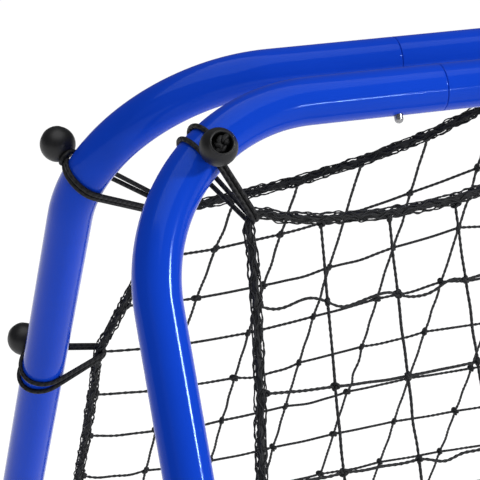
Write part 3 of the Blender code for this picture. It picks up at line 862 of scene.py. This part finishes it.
def twine_mesh(ends, draws):
    """All the net's twines, each two strands laid together, from (start, end, slack, wave) rows."""
    rings, sides, radius, pitch = 26, 8, 0.00100, 0.0085
    starts, stops, slacks, waves = (np.array(column) for column in zip(*ends))
    count = len(ends)
    share = np.linspace(0, 1, rings)
    run = stops - starts
    length = np.linalg.norm(run, axis=1)
    tangent = run / length[:, None]
    side = unit(np.cross(tangent, [0, 0, 1.0]))
    other = np.cross(tangent, side)
    bow = np.sin(math.pi * share)
    ripple = np.sin(3 * math.pi * share[None, :] + draws.uniform(0, 6.28, count)[:, None]) * bow
    drop = slacks[:, None] * bow + waves[:, None] * np.sin(2 * math.pi * share)
    sideways = 0.35 * slacks[:, None] * ripple + draws.normal(0, 0.00025, count)[:, None] * bow
    centre = (starts[:, None, :] + run[:, None, :] * share[None, :, None]
              + drop[..., None] * np.array([0, -0.8, -0.6]) + sideways[..., None] * side[:, None, :])
    turn = np.arange(sides) * 2 * math.pi / sides
    lay = (2 * math.pi * share[None, :, None] * length[:, None, None] / pitch
           + draws.uniform(0, 3, count)[:, None, None])
    reach = radius * (1 + 0.24 * np.cos(2 * (turn - lay)))
    points = (centre[:, :, None, :] + (reach * np.cos(turn))[..., None] * side[:, None, None, :]
              + (reach * np.sin(turn))[..., None] * other[:, None, None, :])
    per_twine = rings * sides
    quads = grid_quads(rings, sides)
    along = share * 0.055
    uvs = np.tile(grid_uvs(rings, sides, along), (count, 1))
    faces = (quads[None] + per_twine * np.arange(count)[:, None, None]).reshape(-1, 4).tolist()
    first, last = list(range(sides))[::-1], list(range(per_twine - sides, per_twine))
    for index in range(count):
        faces.append([index * per_twine + corner for corner in first])
        faces.append([index * per_twine + corner for corner in last])
    uvs = np.concatenate([uvs, np.zeros((2 * sides * count, 2))])
    return outward(new_mesh("twines", points.reshape(-1, 3), faces, uvs))


def knots_mesh(places, draws):
    """A small tight knot at each crossing."""
    path = knot_path(0.0026, 1.1)
    base = swept("knot", path, carried_frames(path, True), 0.0011, 6, True)
    points = np.array([vertex.co for vertex in base.vertices])
    faces = np.array([list(face.vertices) for face in base.polygons])
    layer = np.zeros(len(base.loops) * 2, np.float32)
    base.uv_layers[0].data.foreach_get("uv", layer)
    count = len(places)
    turn = draws.uniform(0, 2 * math.pi, count)
    wide = draws.uniform(1.0, 1.25, count)
    scaled = points[None] * np.stack([wide, draws.uniform(0.8, 1.0, count), np.ones(count)], -1)[:, None, :]
    cos, sin = np.cos(0.5 * turn)[:, None], np.sin(0.5 * turn)[:, None]
    spun = np.stack([scaled[..., 0] * cos - scaled[..., 2] * sin, scaled[..., 1],
                     scaled[..., 0] * sin + scaled[..., 2] * cos], -1)
    all_points = (spun + np.array(places)[:, None, :]).reshape(-1, 3)
    all_faces = (faces[None] + len(points) * np.arange(count)[:, None, None]).reshape(-1, 4)
    return new_mesh("knots", all_points, all_faces, np.tile(layer.reshape(-1, 2), (count, 1)))


def net_meshes(frame_name, seed):
    """The rope with its lashing, and the knotted net, in the frame's plane."""
    draws = np.random.default_rng(seed)
    places = net_places(frame_name, hook_places(frame_name))
    path = rope_path(places)
    frames = flat_frames(path)
    rope = swept("rope", path, frames, ROPE_RADIUS, 24, True, lobes=3, depth=0.12, pitch=0.018)
    lashings = [lashing_mesh(path, frames, draws, 2 * math.pi * number / LASHINGS, 0.09 * (-1) ** number)
                for number in range(LASHINGS)]
    size = 2 * CELLS
    ends = []
    for line in range(2, size, 2):
        for step in range(0, size, 2):
            for start, end in (((step, line), (step + 2, line)), ((line, step), (line, step + 2))):
                slack = abs(draws.normal(0, 0.0009)) + (0.003 if draws.uniform() < 0.06 else 0)
                level = start[1] == end[1]
                wavy = level and line == 2 and step < 2 * SLACK_CELLS[frame_name]
                ends.append((places[start], places[end], slack, 0.0035 if wavy else 0.0))
    crossings = [places[(column, row)] for column in range(2, size, 2) for row in range(2, size, 2)]
    for line in range(2, size, 2):
        for edge, inner in (((line, 0), (line, 2)), ((line, size), (line, size - 2)), ((0, line), (2, line)),
                            ((size, line), (size - 2, line))):
            crossings.append(places[edge] + 0.0032 * unit(places[inner] - places[edge]))
    net = joined("net", [twine_mesh(ends, draws), knots_mesh(crossings, draws)])
    return joined("rope", [rope, *lashings]), net


# Hinges, about the fold axis: X along it, the front top tube at -Y


def bracket_mesh():
    """A clamp round the top tube with an ear that reaches the fold axis."""
    tube_y = -RIDGE_SPACING / 2
    clamp_start = Matrix.Translation((-CLAMP_WIDTH / 2, tube_y, 0)) @ SIDEWAYS
    clamp = cylinder(CLAMP_RADIUS, CLAMP_WIDTH, 72, clamp_start)
    ear_left, ear_right = -GAP / 2 - EAR_THICKNESS, -GAP / 2
    arm = box((ear_left, tube_y, -EAR_HEIGHT / 2), (ear_right, 0, EAR_HEIGHT / 2))
    disc = cylinder(EAR_RADIUS, EAR_THICKNESS, 72, Matrix.Translation((ear_left, 0, 0)) @ SIDEWAYS)
    solid = combine("bracket", clamp, [arm, disc], "UNION")
    tube_bore = cylinder(TUBE_RADIUS + GAP, 2 * CLAMP_WIDTH, 72,
                         Matrix.Translation((-CLAMP_WIDTH, tube_y, 0)) @ SIDEWAYS)
    bolt_bore = cylinder(BOLT_RADIUS + GAP, 2 * CLAMP_WIDTH, 32,
                         Matrix.Translation((-CLAMP_WIDTH, 0, 0)) @ SIDEWAYS)
    return combine("hinge_bracket", solid, [tube_bore, bolt_bore], "DIFFERENCE", bevel=0.0006)


def bolt_mesh():
    """A hexagon bolt, from beyond the front ear to inside the knob."""
    seat = -GAP / 2 - EAR_THICKNESS - GAP
    head = cylinder(BOLT_HEAD_RADIUS, BOLT_HEAD_HEIGHT, 6,
                    Matrix.Translation((seat - BOLT_HEAD_HEIGHT, 0, 0)) @ SIDEWAYS)
    shank_start = seat - BOLT_HEAD_HEIGHT / 2
    shank = cylinder(BOLT_RADIUS, EAR_THICKNESS + 0.010 - shank_start, 32,
                     Matrix.Translation((shank_start, 0, 0)) @ SIDEWAYS)
    return combine("hinge_bolt", head, [shank], "UNION", bevel=0.0005)


def knob_mesh():
    """A lobed knob beyond the rear ear, with rounded edges and a dished end. Its axis is local X."""
    sides = 96
    turn = np.arange(sides) * 2 * math.pi / sides
    edge = 0.0022
    steps = np.linspace(0, math.pi / 2, 6)
    inset = edge / KNOB_RADIUS
    profile = [(0.55, 0.0)]
    profile += [(1 - inset * (1 - math.sin(t)), edge * (1 - math.cos(t))) for t in steps]
    profile += [(1 - inset * (1 - math.cos(t)), KNOB_LENGTH - edge * (1 - math.sin(t))) for t in steps]
    profile += [(0.62, KNOB_LENGTH), (0.56, KNOB_LENGTH - 0.0006), (0.50, KNOB_LENGTH - 0.0016),
                (0.25, KNOB_LENGTH - 0.0020)]
    rings = []
    for share, height in profile:
        lobed = max(0.0, min(1.0, (share - 0.6) / 0.2))
        radius = share * KNOB_RADIUS + lobed * KNOB_LOBE * np.cos(KNOB_LOBES * turn)
        rings.append(np.stack([radius * np.cos(turn), radius * np.sin(turn), np.full(sides, height)], -1))
    faces = grid_quads(len(rings), sides).tolist()
    last = (len(rings) - 1) * sides
    faces += [list(range(sides))[::-1], list(range(last, last + sides))]
    mesh = outward(new_mesh("hinge_knob", np.concatenate(rings), faces))
    mesh.set_sharp_from_angle(angle=math.radians(50))
    seat = GAP / 2 + EAR_THICKNESS + GAP
    mesh.transform(Matrix.Translation((seat, 0, 0)) @ SIDEWAYS)
    return mesh


# Assembly


def frame_matrix(frame_name):
    """Where a frame's plane stands in the row frame."""
    turn = Matrix.Rotation(math.pi, 4, "Z") if frame_name == "rear" else Matrix.Identity(4)
    place = Matrix.Translation((0, -RIDGE_SPACING / 2, RIDGE_HEIGHT))
    return turn @ place @ Matrix.Rotation(math.pi / 2 - LEAN, 4, "X")


def add_bungees(frame_name, plane, ball, materials):
    tables = [(UPPER_BUNGEES[frame_name], True), (LOWER_BUNGEES, False)]
    for side, across in (("left", -1), ("right", 1)):
        for table, top in tables:
            for name, (tube_place, hook_place, angle, long_pair, spread, slip, roll) in table.items():
                node = f"{frame_name}_bungee_{name}_{side}"
                tube_point = Vector(in_frame(tube_place, across, top))
                hook = Vector(in_frame(hook_place, across, top))
                along = (hook - tube_point).normalized()
                matrix = plane @ axes_matrix(tube_point, along, (0, 0, 1))
                mouth = Matrix.Rotation(math.radians(roll), 3, "Y") @ ball_centre(angle).normalized()
                tube = tube_direction(tube_place, across, top)
                lean = tube.dot(along) / tube.dot(Vector((0, 0, 1)).cross(along))
                down = slip * (1 if matrix.col[1].z < 0 else -1)
                reach = (hook - tube_point).length
                elastic = elastic_mesh(node, reach, lean, angle, long_pair, spread, down, mouth)
                add_piece(f"{node}_elastic", elastic, matrix, materials["elastic"], f"{frame_name}_frame",
                          [node])
                seat = matrix @ axes_matrix(ball_centre(angle), (0, 1, 0), mouth)
                add_piece(f"{node}_ball", ball, seat, materials["ball"], f"{frame_name}_frame",
                          [node])


def add_frame(frame_name, seed, tubes, clip, ball, materials):
    plane = frame_matrix(frame_name)
    body = f"{frame_name}_frame"
    for name, mesh in tubes.items():
        add_piece(f"{frame_name}_{name}_painted", mesh, plane, materials["paint"], body,
                  [f"{frame_name}_{name}"])
    for name, place in clip_places().items():
        node = f"{frame_name}_{name}_snap_clip"
        add_piece(f"{node}_steel", clip, plane @ axes_matrix(*place), materials["steel"],
                  f"{frame_name}_{name}_button", [node])
    rope, net = net_meshes(frame_name, seed)
    for name, mesh, material, slot in (
        ("net_rope", rope, "rope", "edge_rope"),
        ("net", net, "twine", "net_twine"),
    ):
        piece = add_piece(f"{frame_name}_{name}_laid", mesh, plane, materials[material], body,
                          [f"{frame_name}_{name}"])
        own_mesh(piece)
    add_bungees(frame_name, plane, ball, materials)


def add_hinges(materials):
    bracket, bolt, knob = bracket_mesh(), bolt_mesh(), knob_mesh()
    for side, across in (("left", -1), ("right", 1)):
        place = Matrix.Translation((across * HINGE_X, 0, RIDGE_HEIGHT))
        turned_place = place @ Matrix.Rotation(math.pi, 4, "Z")
        for name, mesh, matrix, material, body, slot in (
            ("hinge_front_bracket", bracket, place, "paint", "front_frame", "blue_paint"),
            ("hinge_rear_bracket", bracket, turned_place, "paint", "rear_frame", "blue_paint"),
            ("hinge_bolt", bolt, place, "steel", "front_frame", "zinc_steel"),
            ("hinge_knob", knob, place, "knob", f"{side}_knob", "black_plastic"),
        ):
            add_piece(f"{side}_{name}_fine", mesh, matrix, materials[material], body,
                      [f"{side}_{name}"])


def add_floor():
    """A plain white floor, large enough to fill the view."""
    mesh = bpy.data.meshes.new("floor")
    work = bmesh.new()
    bmesh.ops.create_grid(work, x_segments=1, y_segments=1, size=20)
    work.to_mesh(mesh)
    work.free()
    floor = bpy.data.objects.new("floor", mesh)
    bpy.context.scene.collection.objects.link(floor)
    material, _, shader = new_material("white_floor", Roughness=0.9, Emission_Strength=0.93)
    shader.inputs["Base Color"].default_value = (0.25, 0.25, 0.25, 1)
    shader.inputs["Emission Color"].default_value = (1, 1, 1, 1)
    mesh.materials.append(material)


def add_light(name, place, target, size, power):
    data = bpy.data.lights.new(name, "AREA")
    data.shape = "RECTANGLE"
    data.size, data.size_y = size
    data.energy = power
    light = bpy.data.objects.new(name, data)
    bpy.context.scene.collection.objects.link(light)
    light.location = place
    light.rotation_euler = (Vector(target) - Vector(place)).to_track_quat("-Z", "Y").to_euler()


def add_studio():
    """A dim pale world, a large overhead light, a faint left one, a bright right one and a strip in front."""
    world = bpy.data.worlds.new("studio")
    world.use_nodes = True
    world.node_tree.nodes["Background"].inputs["Color"].default_value = (0.95, 0.97, 1.0, 1)
    world.node_tree.nodes["Background"].inputs["Strength"].default_value = 0.12
    scene = bpy.context.scene
    scene.world = world
    scene.view_settings.view_transform = "Standard"
    add_light("overhead", (-0.4, -0.4, 3.6), (0, 0, 0.6), (3.4, 3.4), 72)
    add_light("left_softbox", (-3.0, -1.6, 1.6), (0, 0, 0.6), (0.9, 2.2), 1.5)
    add_light("right_softbox", (2.6, -2.2, 2.4), (0, 0, 0.6), (0.45, 0.45), 100)
    add_light("front_softbox", (0.75, -2.8, 0.9), (0, 0, 0.8), (0.34, 0.045), 12)


def add_camera():
    corner = Vector((-HALF_WIDTH, -RIDGE_SPACING / 2, RIDGE_HEIGHT))
    forward = Vector((math.sin(VIEW_AZIMUTH) * math.cos(VIEW_DROP),
                      math.cos(VIEW_AZIMUTH) * math.cos(VIEW_DROP),
                      -math.sin(VIEW_DROP)))
    level = Vector((math.cos(VIEW_AZIMUTH), -math.sin(VIEW_AZIMUTH), 0))
    upward = level.cross(forward)
    right = math.cos(VIEW_ROLL) * level + math.sin(VIEW_ROLL) * upward
    up = math.cos(VIEW_ROLL) * upward - math.sin(VIEW_ROLL) * level
    matrix = Matrix((right, up, -forward)).transposed().to_4x4()
    matrix.translation = (corner + CORNER_LEFT_OF_AXIS * right - CORNER_ABOVE_AXIS * up
                          - VIEW_DISTANCE * forward)
    data = bpy.data.cameras.new("camera")
    data.lens = LENS
    data.sensor_width = SENSOR
    camera = bpy.data.objects.new("camera", data)
    bpy.context.scene.collection.objects.link(camera)
    camera.matrix_world = matrix
    bpy.context.scene.camera = camera


def main():
    add_camera()
    materials = {
        "paint": blue_paint(),
        "steel": zinc_steel(),
        "knob": moulded_plastic("knob_plastic", (0.012, 0.012, 0.013), (0.030, 0.030, 0.032), (0.38, 0.56),
                                1500.0),
        "ball": moulded_plastic("ball_plastic", (0.004, 0.004, 0.0045), (0.011, 0.011, 0.012), (0.36, 0.50),
                                1100.0),
        "elastic": braided_cord(),
        "rope": fibrous("laid_rope", (0.004, 0.004, 0.0045), (0.026, 0.027, 0.029), (0.75, 0.5), 240.0, 0.7),
        "twine": fibrous("net_twine", (0.004, 0.004, 0.0045), (0.018, 0.019, 0.021), (0.7, 0.45), 500.0, 0.6),
    }
    tubes = tube_meshes()
    clip = clip_mesh()
    ball = ball_mesh()
    for frame_name, seed in (("front", 11), ("rear", 23)):
        add_frame(frame_name, seed, tubes, clip, ball, materials)
    add_hinges(materials)
    add_floor()
    add_studio()


main()
